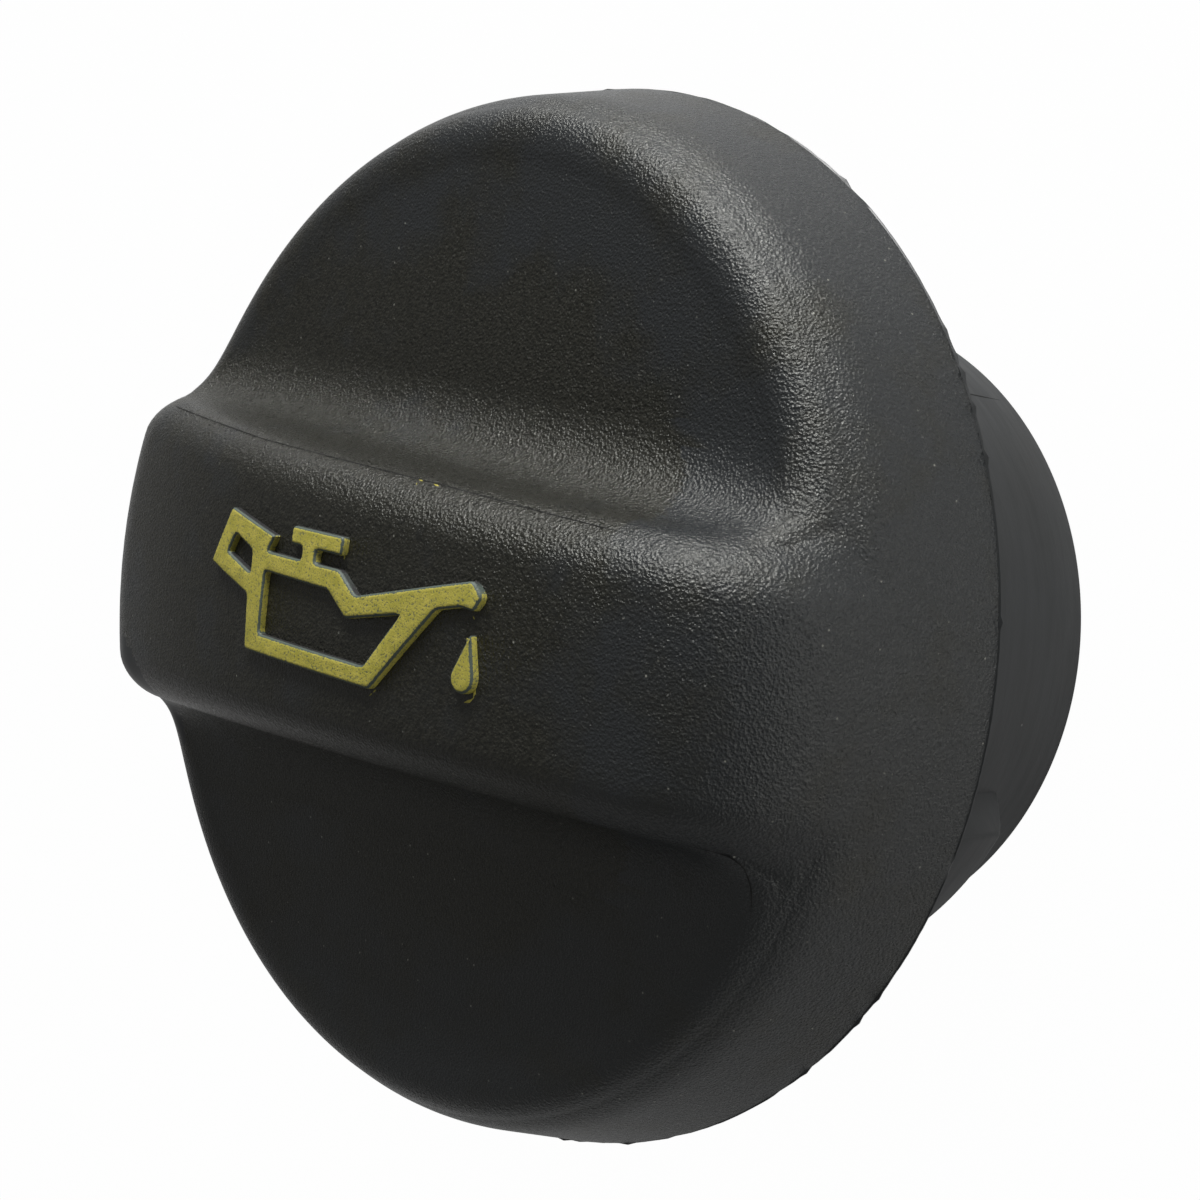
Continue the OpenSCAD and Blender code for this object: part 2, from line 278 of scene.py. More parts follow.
def lip(angles):
    """Radius of the thin mould flash at the rear rim, with a few nicks and nubs."""
    reach = 0.06 + 0.012 * np.sin(3 * angles + 1) + 0.01 * np.sin(7 * angles)
    reach += RNG.normal(0, 0.008, len(angles))
    for centre in RNG.uniform(0, 2 * np.pi, 26):
        away = np.abs((angles - centre + np.pi) % (2 * np.pi) - np.pi)
        reach -= 0.06 * np.exp(-(away / 0.012)**2)
    reach = np.clip(reach, 0, FLASH)
    seen = [0.16, 0.42, 0.5, 0.56, 0.6, 0.64, -0.5, -0.57, -0.7]
    for centre in [*seen, *RNG.uniform(0.9, 5.2, 20)]:
        k = np.argmin(np.abs((angles - centre + np.pi) % (2 * np.pi) - np.pi))
        reach[k] += RNG.uniform(0.05, 0.14)
    limit = HEAD_R / np.maximum(np.abs(np.cos(angles)), np.abs(np.sin(angles)))
    return np.minimum(HEAD_R - FLASH + reach, limit)


def corner_points(r, z, radius, start, stop, n=4):
    """Points on a small arc round (r, z), from one angle to another in degrees."""
    a = np.radians(np.linspace(start, stop, n))
    return [(r + radius * math.cos(t), z + radius * math.sin(t)) for t in a]


def moulding():
    """The front, the skirt with its flash, the recess, the neck and the bore."""
    points, faces, rim_a = half_front()
    mirrored = points * [1, -1, 1]
    verts = [points, mirrored]
    lower = [f[::-1] + len(points) for f in faces]
    angles = np.concatenate([rim_a, [np.pi], 2 * np.pi - rim_a[:0:-1]])
    n = len(angles)
    z0, roof, bore_top = NECK_LEN, NECK_LEN + RECESS_H, NECK_LEN + RECESS_H - 0.4
    flash = lip(angles)
    rows = [(np.full(n, EDGE_R), z0 + EDGE_Z), (np.full(n, EDGE_R + 0.004), z0 + 0.2),
            (flash, z0 + 0.15), (flash, z0 + 0.07),
            (np.full(n, EDGE_R - 0.01), z0 + 0.04), (np.full(n, EDGE_R - 0.1), z0)]
    profile = [(RECESS_R + 1.5, z0)]
    profile += corner_points(RECESS_R + 0.35, z0 + 0.35, 0.35, 270, 180)
    profile += [(RECESS_R - WALL_K * 3, z0 + 3)]
    profile += corner_points(RECESS_TOP_R - 0.3, roof - 0.4, 0.4, 15, 90, 5)
    profile += [(25.8, roof), (NECK_R + 0.5, roof)]
    profile += corner_points(NECK_R + 0.3, roof - 0.3, 0.3, 90, 180)
    profile += [(NECK_R, z) for z in (24.9, 20, 15, 12, 9, 6.6, 4)]
    profile += corner_points(NECK_R - CHAMFER, CHAMFER, CHAMFER, 0, -90, 6)
    profile += [(NECK_R - 1.2, 0)]
    profile += corner_points(BORE_R + 0.4, 0.4, 0.4, -90, -180)
    profile += [(BORE_R, z) for z in (6, 14, 22)]
    profile += corner_points(BORE_R - 0.8, bore_top - 0.8, 0.8, 0, 90, 5)
    profile += [(r, bore_top) for r in (14.5, 9, 4)]
    rows += [(np.full(n, r), z) for r, z in profile]
    lathe = np.concatenate([
        np.column_stack([circle(r, angles), np.full(n, z)]) for r, z in rows])
    start = 2 * len(points)
    quads = grid_faces(len(rows), n, start)
    last = start + (len(rows) - 1) * n
    j = np.arange(n)
    centre = start + len(lathe)
    fan = np.stack([last + j, last + (j + 1) % n, np.full(n, centre)], -1)
    verts += [lathe, [[0, 0, bore_top]]]
    all_faces = [*faces, *lower, *quads, *fan]
    return make_object("cap_shell", np.concatenate(verts), all_faces)


def lug(angle):
    """One bayonet lug with rounded edges, rooted inside the neck's wall."""
    low, high = LUG_Z + LUG_FALL, LUG_Z + LUG_T
    e = 0.45
    hidden = NECK_R - 1.3
    profile = np.array(
        [(hidden, LUG_Z), (NECK_R, LUG_Z), (LUG_R - 0.6, low - 0.32)]
        + corner_points(LUG_R - e, low + e - 0.05, e, -62, 0)
        + corner_points(LUG_R - e, high - e, e, 0, 90)
        + [(NECK_R, high), (hidden, high)])
    middle = profile.mean(0)

    def lean(r):
        """How far the lug's slanted end has turned at a radius, in degrees."""
        t = -NECK_R * math.cos(LUG_LEAN) + np.sqrt(r * r - (NECK_R * math.sin(LUG_LEAN))**2)
        return np.degrees(np.arctan2(t * math.sin(LUG_LEAN), NECK_R + t * math.cos(LUG_LEAN)))

    rows = []
    steps = [(0, 0.93), (0.25, 0.98), (0.7, 1)]
    stations = steps + [(s, 1) for s in np.linspace(2, LUG_ARC - 2, 20)]
    stations += [(LUG_ARC - s, k) for s, k in reversed(steps)]
    for s, k in stations:
        p = middle + k * (profile - middle)
        p[profile[:, 0] < NECK_R, 0] = hidden
        r = p[:, 0]
        f = s / LUG_ARC
        a = np.radians(-LUG_START - s - (1 - 2 * f) * lean(r))
        rows.append(np.stack([r * np.cos(a), r * np.sin(a), p[:, 1]], -1))
    n = len(profile)
    verts = turn(np.concatenate(rows), angle)
    faces = [tuple(f) for f in grid_faces(len(rows), n)]
    faces += [tuple(range(n)), tuple(range((len(rows) - 1) * n, len(rows) * n))]
    return make_object("lug_form", verts, faces)


def core(x0, x1):
    """The cored space under the bar between two values of x, with rounded corners."""
    half, low, reach = BAR_W / 2 - BAR_WALL, 27.5, BORE_R - 1
    e, per_corner = 0.7, 5
    n = 4 * per_corner

    def outline(inset):
        pts = []
        a, b, h = x0 + inset, x1 - inset, half - inset
        rad = max(e - inset, 0.05)
        for cx, cy, start in ((b - rad, h - rad, 0), (a + rad, h - rad, 90),
                              (a + rad, rad - h, 180), (b - rad, rad - h, 270)):
            for t in np.radians(np.linspace(start, start + 90, per_corner)):
                pts.append((cx + rad * math.cos(t), cy + rad * math.sin(t)))
        p = np.array(pts)
        r = np.hypot(p[:, 0], p[:, 1])
        p *= np.minimum(1, (reach - inset) / r)[:, None]
        return p

    def top(p):
        return NECK_LEN + DOME_Z + np.sqrt((DOME_R - BAR_WALL)**2 - (p * p).sum(-1))

    rows = [np.column_stack([outline(0), np.full(n, low)])]
    for inset, drop in ((0, 0.6), (0.08, 0.3), (0.3, 0.08), (0.6, 0)):
        p = outline(inset)
        rows.append(np.column_stack([p, top(p) - drop]))
    verts = np.concatenate(rows)
    faces = [tuple(f) for f in grid_faces(len(rows), n)]
    last = len(verts) - n
    mid = np.array([[(x0 + x1) / 2, 0.0]])
    verts = np.concatenate([verts, np.column_stack([mid, top(mid)])])
    faces += [(last + i, last + (i + 1) % n, len(verts) - 1) for i in range(n)]
    faces += [tuple(range(n))]
    return make_object("core_form", verts, faces)


shell = moulding()
for half_turn in (0, 180):
    boolean(shell, lug(half_turn), "UNION")
rib_in, rib_out = RIB_PITCH / 2 - RIB_T / 2, RIB_PITCH / 2 + RIB_T / 2
for x0, x1 in ((-rib_in, rib_in), (rib_out, BORE_R + 2), (-BORE_R - 2, -rib_out)):
    boolean(shell, core(x0, x1), "DIFFERENCE")
shade(shell, 35)

# ---- the raised symbol

CAN = [(-9.6, 4.2), (-4.9, 3.2), (-5.4, 2.3), (-2.3, 2.3), (-2.3, 3.0), (-3.4, 3.0),
       (-3.4, 4.0), (1.0, 4.0), (1.0, 3.0), (-1.1, 3.0), (-1.1, 2.3), (1.0, 2.3), (2.5, 1.2),
       (10.4, 3.3), (11.1, 2.6), (10.7, 1.8), (9.9, 1.9), (8.3, 1.5), (4.3, -3.3),
       (-6.6, -3.3), (-6.9, -0.3), (-11.1, 0.9)]
WINDOW = [(-5.4, 1.2), (0.3, 1.1), (1.9, -0.1), (5.9, 0.8), (3.7, -2.2), (-5.3, -2.2)]
EYE = [(-8.8, 2.8), (-6.9, 2.1), (-6.8, 0.9), (-9.4, 1.7)]
DROP = [(10.7, 0.8), (9.76, -1.37), (9.82, -1.82), (10.12, -2.15), (10.5, -2.25),
        (10.88, -2.15), (11.18, -1.82), (11.24, -1.37)]


def rounded(outline, radius=0.22):
    """A closed outline with its corners cut by short curves."""
    p = np.array(outline, float)
    out = []
    for i, q in enumerate(p):
        a, b = p[i - 1] - q, p[(i + 1) % len(p)] - q
        cut = min(radius, 0.42 * np.linalg.norm(a), 0.42 * np.linalg.norm(b))
        a, b = q + a / np.linalg.norm(a) * cut, q + b / np.linalg.norm(b) * cut
        out += [a, 0.25 * a + 0.5 * q + 0.25 * b, b]
    return np.array(out)


def symbol():
    """The oil can and its drop, bevelled and laid over the dome."""
    curve = bpy.data.curves.new("symbol_relief", "CURVE")
    curve.dimensions, curve.fill_mode = "2D", "BOTH"
    thick, edge, foot = 0.3, 0.2, -0.3
    curve.extrude, curve.bevel_depth, curve.bevel_resolution = thick * MM, edge * MM, 2
    curve.offset = -edge * MM
    for outline in (CAN, WINDOW, EYE, DROP):
        p = rounded(outline)
        spline = curve.splines.new("POLY")
        spline.points.add(len(p) - 1)
        for point, (x, y) in zip(spline.points, p * MM):
            point.co = (x + SYMBOL_X * MM, y, 0, 1)
        spline.use_cyclic_u = True
    holder = bpy.data.objects.new("symbol_form", curve)
    bpy.context.scene.collection.objects.link(holder)
    bpy.context.view_layer.update()
    mesh = bpy.data.meshes.new_from_object(
        holder.evaluated_get(bpy.context.evaluated_depsgraph_get()))
    bpy.data.objects.remove(holder)
    bm = bmesh.new()
    bm.from_mesh(mesh)
    bmesh.ops.remove_doubles(bm, verts=bm.verts, dist=1e-6)
    for axis, low, high in ((0, -9.4, 13.4), (1, -3.6, 4.4)):
        for cut in np.arange(low, high, 0.6):
            spot, normal = [0, 0, 0], [0, 0, 0]
            spot[axis], normal[axis] = cut * MM, 1
            bmesh.ops.bisect_plane(bm, geom=bm.verts[:] + bm.edges[:] + bm.faces[:],
                                   plane_co=spot, plane_no=normal, dist=1e-7)
    bmesh.ops.triangulate(bm, faces=bm.faces)
    bmesh.ops.recalc_face_normals(bm, faces=bm.faces)
    # The relief's flat top goes SYMBOL_H above the dome, and its foot stays sunk in it.
    paint = bm.verts.layers.float.new("paint")
    half = (thick + edge) * MM
    for v in bm.verts:
        r2 = (v.co.x / MM)**2 + (v.co.y / MM)**2
        level = v.co.z / half
        # Full paint on the top, a worn line round its edge, and paint that ran over on
        # the sides facing right.
        side = v.normal.x - 0.6 * v.normal.y
        v[paint] = 1.0 if level > 0.99 else 0.3 if level > 0.7 else max(0.0, min(1.0, side))
        height = SYMBOL_H if level > 0 else foot
        if level > 0:
            height -= (1 - level) * half / MM
        v.co.z = (NECK_LEN + DOME_Z + math.sqrt(DOME_R**2 - r2) + height) * MM
    bm.to_mesh(mesh)
    bm.free()
    obj = bpy.data.objects.new("symbol_relief", mesh)
    bpy.context.scene.collection.objects.link(obj)
    shade(obj, 40)
    return obj


relief = symbol()

# ---- fine mould lines and paint flecks on the surface

# Where the mould's inserts met: along the bar's upper edge, and round the lower scoop's
# corner. The flecks are strokes of paint that missed the symbol.
UPPER_SEAM = [(-21.5, 8.94), (-8.4, 8.04), (7, 7.42), (14.5, 7.0), (19.5, 6.73)]
LOWER_SEAM = [(23.6, -7.06), (24.6, -7.2), (25.2, -7.36), (25.5, -7.8), (25.5, -8.9),
              (25.3, -10.5)]
FLECKS = [[(2.68, 3.86), (2.73, 3.46)], [(2.72, 3.32), (2.79, 2.76)],
          [(13.02, 2.46), (12.84, 2.08)], [(12.33, 1.56), (12.46, 1.42)],
          [(12.48, -2.66), (12.86, -2.5), (13.05, -2.3)], [(13.02, -2.36), (13.12, -1.74)],
          [(6.03, -3.67), (6.22, -3.5)], [(6.26, -3.46), (6.52, -3.22)],
          [(5.52, 7.46), (5.9, 7.42)], [(6.7, 7.38), (7.22, 7.32)], [(5.7, 7.3), (5.85, 7.2)]]


def resample(points, step):
    """Points at equal steps along a route."""
    p = np.array(points, float)
    d = np.concatenate([[0], np.cumsum(np.linalg.norm(np.diff(p, axis=0), axis=1))])
    s = np.arange(0, d[-1], step)
    return np.stack([np.interp(s, d, p[:, k]) for k in range(p.shape[1])], -1)


def on_front(route, step):
    """Points and normals on the front, over a route of (x, y)."""
    return surface(*resample(route, step).T)


def bead(name, path, width, height):
    """A fine raised line along a path of points with normals, pointed at both ends."""
    p, n = path
    along = np.gradient(p, axis=0)
    along /= np.linalg.norm(along, axis=1, keepdims=True)
    side = np.cross(n, along)
    side /= np.linalg.norm(side, axis=1, keepdims=True)
    taper = np.minimum(1, np.minimum(np.arange(len(p)), np.arange(len(p))[::-1]) / 6 + 0.05)
    shape = [(-0.5, -0.6), (-0.42, 0.1), (-0.15, 1), (0.15, 1), (0.42, 0.1), (0.5, -0.6)]
    rows = np.stack([p + side * (width * u * taper)[:, None]
                     + n * (height * v * taper)[:, None] for u, v in shape], 1)
    verts = rows.reshape(-1, 3)
    k = len(shape)
    faces = [tuple(f) for f in grid_faces(len(p), k)]
    faces += [tuple(range(k)), tuple(range(len(verts) - k, len(verts)))]
    return make_object(name, verts, faces, 60)


def join(name, objects):
    """Joins mesh objects into one."""
    bm = bmesh.new()
    for obj in objects:
        bm.from_mesh(obj.data)
        bpy.data.objects.remove(obj)
    mesh = bpy.data.meshes.new(name)
    bm.to_mesh(mesh)
    bm.free()
    obj = bpy.data.objects.new(name, mesh)
    bpy.context.scene.collection.objects.link(obj)
    shade(obj, 60)
    return obj


seam_z = np.arange(1.2, 24, 0.4)
seam_way = np.array([math.cos(math.radians(51)), math.sin(math.radians(51)), 0])
neck_path = (seam_way * NECK_R + np.outer(seam_z, [0, 0, 1]),
             np.tile(seam_way, (len(seam_z), 1)))
seams = join("witness_lines", [bead("seam", on_front(UPPER_SEAM, 0.25), 0.1, 0.03),
                               bead("seam", on_front(LOWER_SEAM, 0.25), 0.1, 0.03),
                               bead("seam", neck_path, 0.14, 0.02)])
flecks = join("paint_flecks", [bead("fleck", on_front(route, 0.06), 0.2, 0.04)
                               for route in FLECKS])

# ---- materials

def nodes_of(name):
    """A new material with its node tree and its shader."""
    material = bpy.data.materials.new(name)
    material.use_nodes = True
    tree = material.node_tree
    return material, tree, tree.nodes["Principled BSDF"]


def node(tree, kind, **values):
    """A shader node with some of its inputs or settings given."""
    made = tree.nodes.new("ShaderNode" + kind)
    for key, value in values.items():
        if key in made.inputs:
            made.inputs[key].default_value = value
        else:
            setattr(made, key.lower(), value)
    return made


def link(tree, a, out, b, into):
    """Links an output of node a to an input of node b."""
    tree.links.new(a.outputs[out], b.inputs[into])


def ramp(tree, source, out, stops):
    """A colour ramp from (position, value or colour) stops."""
    made = tree.nodes.new("ShaderNodeValToRGB")
    line = made.color_ramp
    while len(line.elements) < len(stops):
        line.elements.new(0.5)
    for element, (place, value) in zip(line.elements, stops):
        element.position = place
        element.color = (*value, 1) if isinstance(value, tuple) else (value, value, value, 1)
    link(tree, source, out, made, "Fac")
    return made


def noise(tree, coords, scale, detail=2.0, rough=0.5):
    """A noise texture in the object's own coordinates."""
    made = node(tree, "TexNoise", Scale=scale, Detail=detail, Roughness=rough)
    link(tree, coords, "Object", made, "Vector")
    return made


def mix(tree, kind, factor, a, b):
    """Mixes two colours or floats; factor, a and b are (node, output) pairs or values."""
    made = tree.nodes.new("ShaderNodeMix")
    made.data_type = kind
    slots = {"FLOAT": (0, 2, 3), "RGBA": (0, 6, 7)}[kind]
    for index, value in zip(slots, (factor, a, b)):
        if isinstance(value, tuple) and isinstance(value[0], bpy.types.Node):
            link(tree, *value, made, index)
        elif isinstance(value, tuple):
            made.inputs[index].default_value = (*value, 1)
        else:
            made.inputs[index].default_value = value
    return made, {"FLOAT": 0, "RGBA": 2}[kind]


def math_node(tree, operation, a, b):
    """A math node; a and b are (node, output) pairs or values."""
    made = tree.nodes.new("ShaderNodeMath")
    made.operation = operation
    for index, value in enumerate((a, b)):
        if isinstance(value, tuple):
            link(tree, *value, made, index)
        else:
            made.inputs[index].default_value = value
    return made


def attribute(tree, name):
    """A value that is stored on the points of the mesh."""
    made = node(tree, "Attribute")
    made.attribute_name = name
    return made


def bumps(tree, shader, source, out, **values):
    """A bump, from a node's output into the shader's normal."""
    made = node(tree, "Bump", **values)
    link(tree, source, out, made, "Height")
    link(tree, made, "Normal", shader, "Normal")
    return made


def gloss(tree, shader, source, stops):
    """Roughness by a ramp from a texture."""
    link(tree, ramp(tree, source, "Fac", stops), "Color", shader, "Roughness")


def specks(tree, coords, scale, edge, share):
    """Small round specks in some of a texture's cells; edge and share are ramp places."""
    cells = node(tree, "TexVoronoi", Scale=scale)
    link(tree, coords, "Object", cells, "Vector")
    near = ramp(tree, cells, "Distance", [(0.0, 1.0), (edge[0], 1.0), (edge[1], 0.0)])
    rare = ramp(tree, cells, "Color", [(0.0, 0.0), (share[0], 0.0), (share[1], 1.0)])
    return math_node(tree, "MULTIPLY", (near, "Color"), (rare, "Color"))


def grained_plastic():
    """Black nylon with a fine moulded grain, handling wear with a painted bluish sheen, a
    faint reddish-brown band and specks of dust.
    """
    material, tree, shader = nodes_of("grained_black_nylon")
    coords = tree.nodes.new("ShaderNodeTexCoord")
    cells = node(tree, "TexVoronoi", Scale=6000.0)
    cells.feature = "SMOOTH_F1"
    cells.inputs["Smoothness"].default_value = 0.35
    link(tree, coords, "Object", cells, "Vector")
    fine = noise(tree, coords, 11000.0, 2.0, 0.65)
    broad = noise(tree, coords, 2600.0, 2.0, 0.5)
    grain = math_node(tree, "MULTIPLY_ADD", (fine, "Fac"), 0.9)
    link(tree, cells, "Distance", grain, 2)
    height = math_node(tree, "MULTIPLY_ADD", (broad, "Fac"), 0.2)
    link(tree, grain, 0, height, 2)
    # Handling has worn patches of the rim and bar ends smoother; their greyer, bluish colour
    # is a painted sheen.
    patches = noise(tree, coords, 150.0, 5.0, 0.62)
    shown = math_node(tree, "MULTIPLY_ADD", (attribute(tree, "wear_and_sheen"), "Fac"), 0.3)
    link(tree, patches, "Fac", shown, 2)
    worn = ramp(tree, shown, 0, [(0.58, 0.0), (0.8, 1.0)])
    strength, out = mix(tree, "FLOAT", (worn, "Color"), 1.0, 0.85)
    relief_of_grain = bumps(tree, shader, height, 0, Distance=0.000062)
    link(tree, strength, out, relief_of_grain, "Strength")
    mottle = noise(tree, coords, 4400.0, 3.0, 0.7)
    dark = ramp(tree, mottle, "Fac", [(0.38, (0.0050, 0.0050, 0.0034)),
                                      (0.62, (0.0195, 0.0190, 0.0145))])
    # The worn patches' bluish grey colour is a painted sheen laid over the wear.
    tone, out = mix(tree, "RGBA", (worn, "Color"), (dark, "Color"), (0.0150, 0.0168, 0.0188))
    # A faint reddish-brown band in the colour along the bar's lower side.
    brown_band = attribute(tree, "brown_band")
    tone, out = mix(tree, "RGBA", (brown_band, "Fac"), (tone, out), (0.024, 0.0135, 0.0115))
    dust = specks(tree, coords, 1250.0, (0.05, 0.085), (0.6, 0.75))
    colour, out = mix(tree, "RGBA", (dust, 0), (tone, out), (0.24, 0.24, 0.21))
    link(tree, colour, out, shader, "Base Color")
    gloss(tree, shader, mottle, [(0.3, 0.23), (0.7, 0.34)])
    shader.inputs["Specular Tint"].default_value = (1, 1, 0.93, 1)
    return material


def satin_plastic():
    """The neck's smooth satin nylon, with faint flow marks and scuffs."""
    material, tree, shader = nodes_of("satin_black_nylon")
    coords = tree.nodes.new("ShaderNodeTexCoord")
    stretch = node(tree, "Mapping")
    stretch.inputs["Scale"].default_value = (1, 1, 8)
    link(tree, coords, "Object", stretch, "Vector")
    flow = node(tree, "TexNoise", Scale=160.0, Detail=4.0, Roughness=0.65)
    link(tree, stretch, "Vector", flow, "Vector")
    fine = noise(tree, coords, 6000.0, 2.0)
    both = math_node(tree, "MULTIPLY_ADD", (fine, "Fac"), 0.5)
    link(tree, flow, "Fac", both, 2)
    bumps(tree, shader, both, 0, Strength=0.35, Distance=0.00003)
    patches = noise(tree, coords, 160.0, 4.0, 0.6)
    tone = ramp(tree, patches, "Fac", [(0.3, (0.0085, 0.0095, 0.0095)),
                                       (0.7, (0.0125, 0.0145, 0.0155))])
    scuffs = specks(tree, coords, 800.0, (0.05, 0.08), (0.8, 0.9))
    colour, out = mix(tree, "RGBA", (scuffs, 0), (tone, "Color"), (0.16, 0.16, 0.15))
    link(tree, colour, out, shader, "Base Color")
    gloss(tree, shader, flow, [(0.3, 0.34), (0.7, 0.46)])
    return material


def rubber():
    """Seal rubber with a fine matt bloom."""
    material, tree, shader = nodes_of("seal_rubber_matt")
    coords = tree.nodes.new("ShaderNodeTexCoord")
    fine = noise(tree, coords, 4000.0, 3.0, 0.6)
    bumps(tree, shader, fine, "Fac", Strength=0.3, Distance=0.00004)
    bloom = noise(tree, coords, 260.0, 4.0, 0.65)
    tone = ramp(tree, bloom, "Fac", [(0.35, (0.011, 0.011, 0.012)),
                                     (0.7, (0.02, 0.02, 0.0215))])
    link(tree, tone, "Color", shader, "Base Color")
    gloss(tree, shader, bloom, [(0.3, 0.6), (0.7, 0.75)])
    return material


def yellow_paint(whole=False):
    """Yellow paint over black relief: speckled, and worn through along the edges."""
    material, tree, shader = nodes_of("yellow_fleck_paint" if whole else "yellow_symbol_paint")
    coords = tree.nodes.new("ShaderNodeTexCoord")
    fine = noise(tree, coords, 8500.0, 3.0, 0.65)
    broad = noise(tree, coords, 1600.0, 3.0, 0.6)
    tone = ramp(tree, broad, "Fac", [(0.3, (0.33, 0.3, 0.04)), (0.7, (0.46, 0.4, 0.07))])
    if whole:
        link(tree, tone, "Color", shader, "Base Color")
    else:
        cover = attribute(tree, "paint")
        torn = math_node(tree, "MULTIPLY_ADD", (fine, "Fac"), 0.9)
        link(tree, cover, "Fac", torn, 2)
        keep = ramp(tree, torn, 0, [(0.86, 0.0), (1.0, 1.0)])
        dots = ramp(tree, fine, "Fac", [(0.37, 0.15), (0.45, 1.0)])
        keep = math_node(tree, "MULTIPLY", (keep, "Color"), (dots, "Color"))
        bare = ramp(tree, cover, "Fac", [(0.05, (0.011, 0.011, 0.011)),
                                         (0.3, (0.06, 0.08, 0.065))])
        colour, out = mix(tree, "RGBA", (keep, 0), (bare, "Color"), (tone, "Color"))
        link(tree, colour, out, shader, "Base Color")
    bumps(tree, shader, fine, "Fac", Strength=0.5, Distance=0.00006)
    gloss(tree, shader, broad, [(0.3, 0.5), (0.7, 0.65)])
    return material


def seam_plastic():
    """The bare, slightly burnished nylon of a seam."""
    material, tree, shader = nodes_of("seam_black_nylon")
    coords = tree.nodes.new("ShaderNodeTexCoord")
    breaks = noise(tree, coords, 900.0, 3.0, 0.6)
    tone = ramp(tree, breaks, "Fac", [(0.35, (0.007, 0.007, 0.0065)),
                                      (0.7, (0.02, 0.02, 0.019))])
    link(tree, tone, "Color", shader, "Base Color")
    shader.inputs["Specular IOR Level"].default_value = 0.15
    gloss(tree, shader, breaks, [(0.3, 0.8), (0.7, 0.55)])
    return material


grain_mat, satin_mat = grained_plastic(), satin_plastic()
shell.data.materials.clear()
shell.data.materials.append(grain_mat)
shell.data.materials.append(satin_mat)
# The head's front is grained down to its rim; the recess, the neck and the core are satin.
rim_z, roof_z = (NECK_LEN + 0.19) * MM, (NECK_LEN + RECESS_H) * MM
outer_r = (RECESS_TOP_R - 0.5) * MM
for face in shell.data.polygons:
    x, y, z = face.center
    front = z > rim_z and face.normal.z > -0.2
    outer = math.hypot(x, y) > outer_r
    at_front = abs(z / MM - NECK_LEN - float(head_z(x / MM, y / MM))) < 0.12
    grained = front if outer else z > roof_z and at_front
    face.material_index = 0 if grained else 1
# How much handling wear and painted sheen each point gets, growing towards +x, and a faint
# reddish-brown band along the bar's lower side.
co = np.empty(len(shell.data.vertices) * 3, np.float32)
shell.data.vertices.foreach_get("co", co)
co = co.reshape(-1, 3) / MM
radius = np.hypot(co[:, 0], co[:, 1])
sunk = blank(radius)[0] + NECK_LEN - co[:, 2]
wear_and_sheen = np.clip(1 - sunk / 1.5, 0, 1) * np.clip((radius - 12) / 12, 0.25, 1)
# The x term makes the painted sheen lighter towards +x.
wear_and_sheen = np.where(radius > ARC_R, 1.0, wear_and_sheen) * np.clip(0.75 + co[:, 0] / 60, 0, 1)
brown_band = 0.5 * np.exp(-((co[:, 1] + 8.2) / 1.0)**2) * np.clip((8 - co[:, 0]) / 10, 0, 1)
for name, values in (("wear_and_sheen", wear_and_sheen), ("brown_band", brown_band)):
    layer = shell.data.attributes.new(name, "FLOAT", "POINT")
    layer.data.foreach_set("value", values.astype(np.float32))
relief.data.materials.append(yellow_paint())
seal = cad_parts["seal_ring"]
seal.data.materials.clear()
seal.data.materials.append(rubber())

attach(shell, "root")
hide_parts("cap_body")
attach(relief, "root")
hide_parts("oil_symbol")
seams.data.materials.append(seam_plastic())
flecks.data.materials.append(yellow_paint(whole=True))
for piece, slot in ((seams, "cap_plastic"), (flecks, "symbol_paint")):
    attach(piece, "root")

# ---- camera at the photograph's viewing angle

# Fitted to the outlines of the rim and of the neck's end: pixels of the photograph,
# radians, and the range in radii of the head.
IMAGE, FOCAL = 1200.0, 1800.0
TILT, SWING, ROLL = 0.7729, -0.0419, 0.17
CENTRE_X, CENTRE_Y, RANGE = 551.6473, 612.3533, 3.4818


def camera_axes():
    """The camera's right, down and forward axes and its place, in the model's frame."""
    axis = np.array([-math.sin(TILT) * math.cos(SWING), math.sin(TILT) * math.sin(SWING),
                     -math.cos(TILT)])
    level = np.array([math.cos(TILT), 0, -math.sin(TILT)])
    level -= level.dot(axis) * axis
    level /= np.linalg.norm(level)
    fall = np.cross(axis, level)
    if fall[1] < 0:
        fall = -fall
    x = math.cos(ROLL) * level + math.sin(ROLL) * fall
    y = np.cross(axis, x)
    if y[1] > 0:
        y = -y
    centre = np.array([(CENTRE_X - IMAGE / 2) / FOCAL * RANGE,
                       (CENTRE_Y - IMAGE / 2) / FOCAL * RANGE, RANGE])
    model = np.stack([x, y, axis])
    place = -model @ centre * HEAD_R * MM + [0, 0, NECK_LEN * MM]
    return model[:, 0], model[:, 1], model[:, 2], place


right, down, ahead, place = camera_axes()
lens = bpy.data.cameras.new("camera")
lens.sensor_width, lens.lens, lens.clip_start = 36, 36 * FOCAL / IMAGE, 0.001
camera = bpy.data.objects.new("camera", lens)
camera.matrix_world = Matrix([(right[i], -down[i], -ahead[i], place[i]) for i in range(3)]
                             + [(0, 0, 0, 1)])
bpy.context.scene.collection.objects.link(camera)
bpy.context.scene.camera = camera

# ---- floor, lamps and world

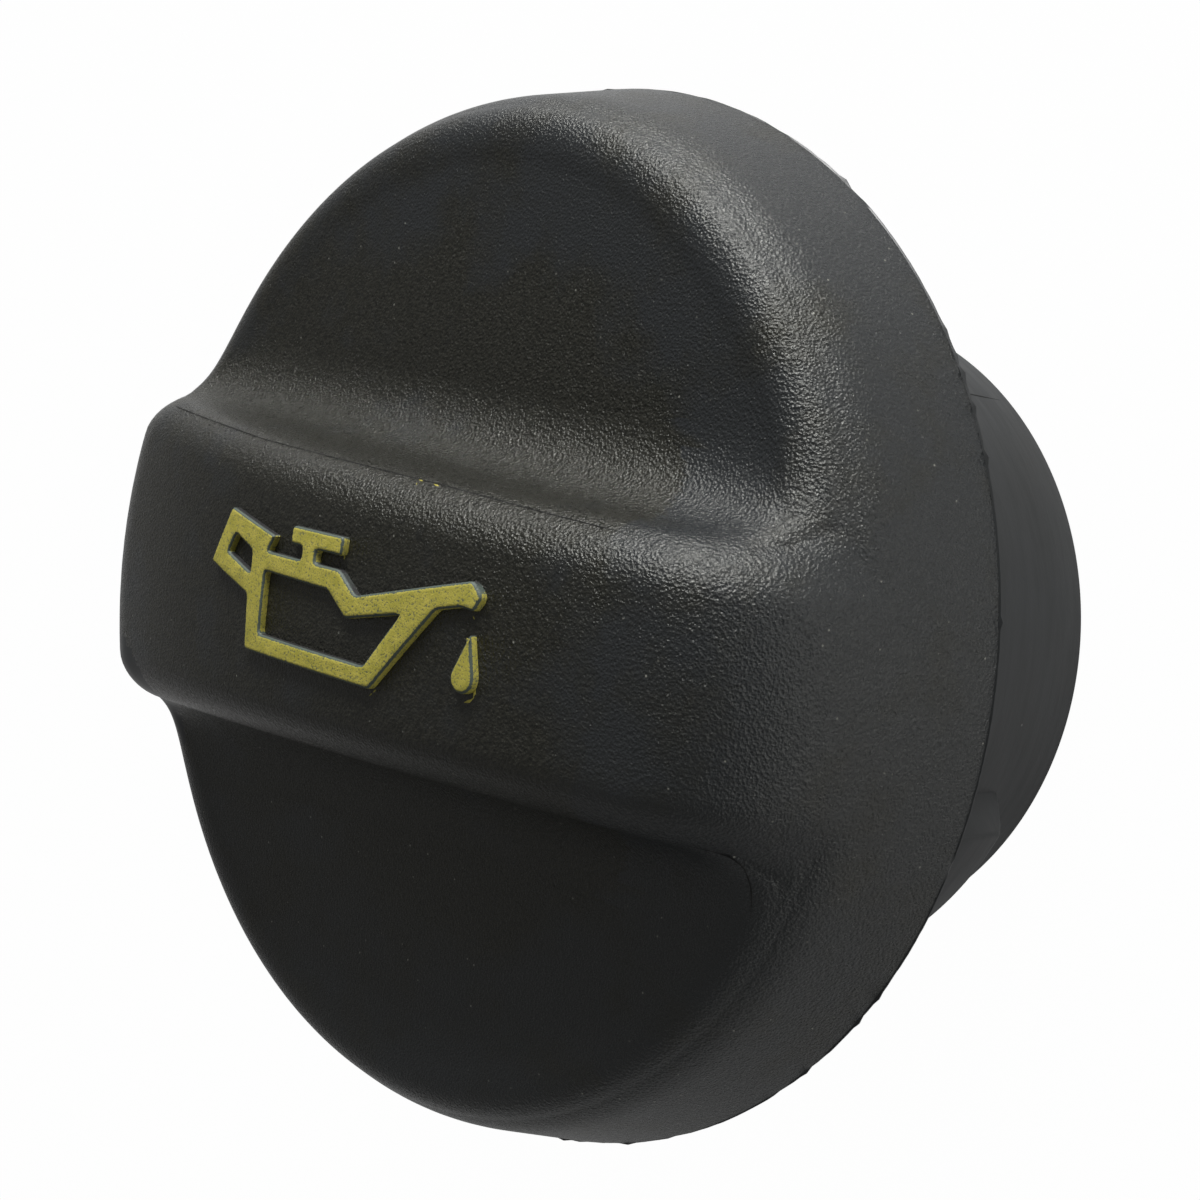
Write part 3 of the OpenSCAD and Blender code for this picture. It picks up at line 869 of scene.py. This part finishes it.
def floor_material():
    """White to the camera and in reflections, and still darkened by the cap's shadow."""
    material, tree, shader = nodes_of("pale_floor")
    shader.inputs["Base Color"].default_value = (0.45, 0.45, 0.45, 1)
    shader.inputs["Roughness"].default_value = 0.9
    glow = node(tree, "Emission", Strength=1.0)
    path = tree.nodes.new("ShaderNodeLightPath")
    seen = math_node(tree, "MAXIMUM", (path, "Is Glossy Ray"), (path, "Is Transmission Ray"))
    seen = math_node(tree, "MULTIPLY", (seen, 0), 0.2)
    share = math_node(tree, "MULTIPLY_ADD", (path, "Is Camera Ray"), 0.985)
    link(tree, seen, 0, share, 2)
    both = tree.nodes.new("ShaderNodeMixShader")
    link(tree, share, 0, both, 0)
    link(tree, shader, "BSDF", both, 1)
    link(tree, glow, "Emission", both, 2)
    link(tree, both, "Shader", tree.nodes["Material Output"], "Surface")
    return material


FLOOR_R, FLOOR_N = 0.5, 96
floor_mesh = bpy.data.meshes.new("floor")
disc = np.linspace(0, 2 * np.pi, FLOOR_N, endpoint=False)
floor_mesh.from_pydata([(FLOOR_R * math.cos(a), FLOOR_R * math.sin(a), 0) for a in disc],
                       [], [tuple(range(FLOOR_N))])
floor = bpy.data.objects.new("floor", floor_mesh)
floor.location.z = -0.00002
floor_mesh.materials.append(floor_material())
bpy.context.scene.collection.objects.link(floor)


def lamp(name, r, u, f, size, power, distance=0.35):
    """A soft lamp, its direction given along the camera's right, up and back."""
    data = bpy.data.lights.new(name, "AREA")
    data.shape, data.energy = "RECTANGLE", power
    data.size, data.size_y = size
    obj = bpy.data.objects.new(name, data)
    way = Vector(r * right - u * down - f * ahead).normalized()
    obj.location = way * distance + Vector((0, 0, 0.03))
    obj.rotation_euler = way.to_track_quat("Z", "Y").to_euler()
    bpy.context.scene.collection.objects.link(obj)


lamp("key", -0.19, 1.3, 0.51, (0.22, 0.1), 2.0)
lamp("side", 1.3, -0.1, 0.56, (0.3, 0.35), 1.55)
lamp("fill", -0.9, 0.3, 0.8, (0.3, 0.3), 0.04)

world = bpy.data.worlds.new("studio")
world.use_nodes = True
sky = world.node_tree.nodes["Background"]
sky.inputs["Color"].default_value = (1, 1, 1, 1)
sky_path = world.node_tree.nodes.new("ShaderNodeLightPath")
strength, _ = mix(world.node_tree, "FLOAT", (sky_path, "Is Camera Ray"), 0.19, 1.0)
link(world.node_tree, strength, 0, sky, "Strength")
bpy.context.scene.world = world
bpy.context.scene.view_settings.view_transform = "Standard"
